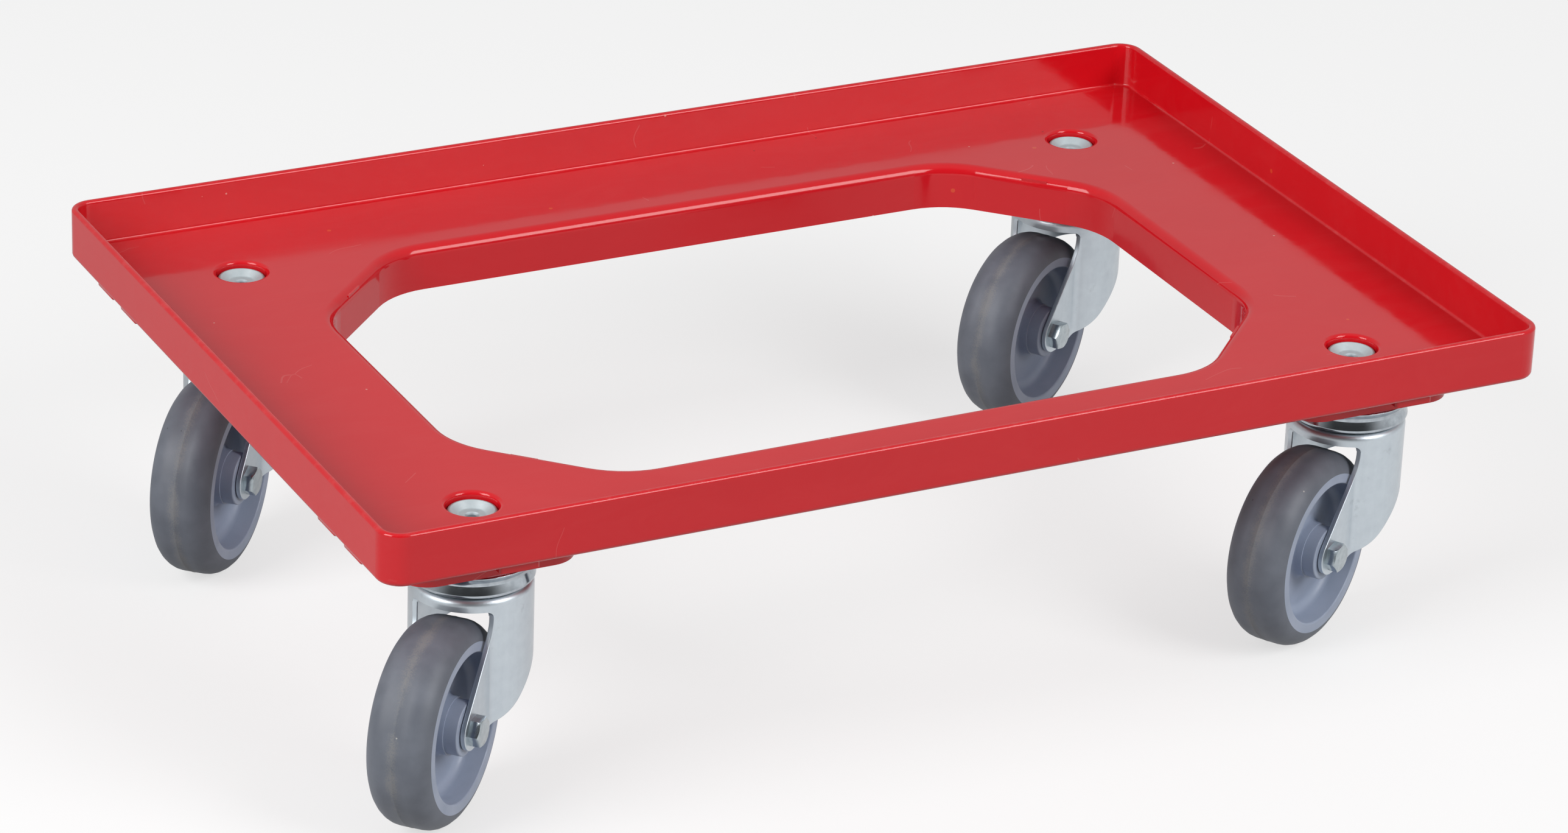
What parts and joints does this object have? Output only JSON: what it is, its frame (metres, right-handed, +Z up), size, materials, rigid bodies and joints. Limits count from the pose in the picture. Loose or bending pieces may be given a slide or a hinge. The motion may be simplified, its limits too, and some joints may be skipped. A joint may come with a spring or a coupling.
{
  "type": "crate dolly",
  "caption": "Low plastic dolly for stacked crates: a rimmed tray with a large octagonal opening and ribbed underside, carried at its corners by swivel castors with pressed steel forks.",
  "frame": {"origin": "centre of the deck's load face, on which a crate stands", "axes": "+X along the deck's long sides, +Y along its short sides, +Z up, out of the load face"},
  "size_m": [0.6185, 0.4227, 0.167],
  "materials": {
    "red_abs": "moulded gloss",
    "zinc_sheet": "zinc plated",
    "zinc_bright": "bright zinc plated",
    "zinc_fasteners": "zinc plated",
    "bearing_steel": "polished",
    "bush_nylon": "moulded",
    "grey_polypropylene": "moulded",
    "grey_rubber": "matte"
  },
  "bodies": {
    "deck": {"deck_frame": "red_abs", "fixing_bolt_front_left": "zinc_fasteners", "fixing_nut_front_left": "zinc_fasteners", "swivel_pan_front_left": "zinc_bright", "kingpin_sleeve_front_left": "zinc_fasteners", "race_cup_front_left": "zinc_fasteners", "fixing_bolt_front_right": "zinc_fasteners", "fixing_nut_front_right": "zinc_fasteners", "swivel_pan_front_right": "zinc_bright", "kingpin_sleeve_front_right": "zinc_fasteners", "race_cup_front_right": "zinc_fasteners", "fixing_bolt_rear_left": "zinc_fasteners", "fixing_nut_rear_left": "zinc_fasteners", "swivel_pan_rear_left": "zinc_bright", "kingpin_sleeve_rear_left": "zinc_fasteners", "race_cup_rear_left": "zinc_fasteners", "fixing_bolt_rear_right": "zinc_fasteners", "fixing_nut_rear_right": "zinc_fasteners", "swivel_pan_rear_right": "zinc_bright", "kingpin_sleeve_rear_right": "zinc_fasteners", "race_cup_rear_right": "zinc_fasteners"},
    "swivel_front_left": {"fork_front_left": "zinc_sheet", "swivel_balls_front_left": "bearing_steel", "axle_bolt_front_left": "zinc_fasteners", "axle_nut_front_left": "zinc_fasteners", "axle_sleeve_front_left": "zinc_fasteners"},
    "wheel_front_left": {"wheel_rim_front_left": "grey_polypropylene", "tyre_front_left": "grey_rubber", "hub_bush_front_left": "bush_nylon"},
    "swivel_front_right": {"fork_front_right": "zinc_sheet", "swivel_balls_front_right": "bearing_steel", "axle_bolt_front_right": "zinc_fasteners", "axle_nut_front_right": "zinc_fasteners", "axle_sleeve_front_right": "zinc_fasteners"},
    "wheel_front_right": {"wheel_rim_front_right": "grey_polypropylene", "tyre_front_right": "grey_rubber", "hub_bush_front_right": "bush_nylon"},
    "swivel_rear_left": {"fork_rear_left": "zinc_sheet", "swivel_balls_rear_left": "bearing_steel", "axle_bolt_rear_left": "zinc_fasteners", "axle_nut_rear_left": "zinc_fasteners", "axle_sleeve_rear_left": "zinc_fasteners"},
    "wheel_rear_left": {"wheel_rim_rear_left": "grey_polypropylene", "tyre_rear_left": "grey_rubber", "hub_bush_rear_left": "bush_nylon"},
    "swivel_rear_right": {"fork_rear_right": "zinc_sheet", "swivel_balls_rear_right": "bearing_steel", "axle_bolt_rear_right": "zinc_fasteners", "axle_nut_rear_right": "zinc_fasteners", "axle_sleeve_rear_right": "zinc_fasteners"},
    "wheel_rear_right": {"wheel_rim_rear_right": "grey_polypropylene", "tyre_rear_right": "grey_rubber", "hub_bush_rear_right": "bush_nylon"}
  },
  "joints": [
    {"name": "swivel_turn_front_left", "type": "hinge", "parent": "deck", "child": "swivel_front_left", "pos_m": [-0.2374, -0.1442, -0.0235], "axis": [0, 0, 1], "continuous": true},
    {"name": "wheel_spin_front_left", "type": "hinge", "parent": "swivel_front_left", "child": "wheel_front_left", "pos_m": [-0.26818, -0.17351, -0.0935], "axis": [0.6896, -0.7242, 0], "continuous": true},
    {"name": "swivel_turn_front_right", "type": "hinge", "parent": "deck", "child": "swivel_front_right", "pos_m": [0.2374, -0.1442, -0.0235], "axis": [0, 0, 1], "continuous": true},
    {"name": "wheel_spin_front_right", "type": "hinge", "parent": "swivel_front_right", "child": "wheel_front_right", "pos_m": [0.20067, -0.16558, -0.0935], "axis": [0.503, -0.8643, 0], "continuous": true},
    {"name": "swivel_turn_rear_left", "type": "hinge", "parent": "deck", "child": "swivel_rear_left", "pos_m": [-0.2374, 0.1442, -0.0235], "axis": [0, 0, 1], "continuous": true},
    {"name": "wheel_spin_rear_left", "type": "hinge", "parent": "swivel_rear_left", "child": "wheel_rear_left", "pos_m": [-0.26644, 0.11317, -0.0935], "axis": [0.7302, -0.6833, 0], "continuous": true},
    {"name": "swivel_turn_rear_right", "type": "hinge", "parent": "deck", "child": "swivel_rear_right", "pos_m": [0.2374, 0.1442, -0.0235], "axis": [0, 0, 1], "continuous": true},
    {"name": "wheel_spin_rear_right", "type": "hinge", "parent": "swivel_rear_right", "child": "wheel_rear_right", "pos_m": [0.20128, 0.1218, -0.0935], "axis": [0.527, -0.8499, 0], "continuous": true}
  ]
}
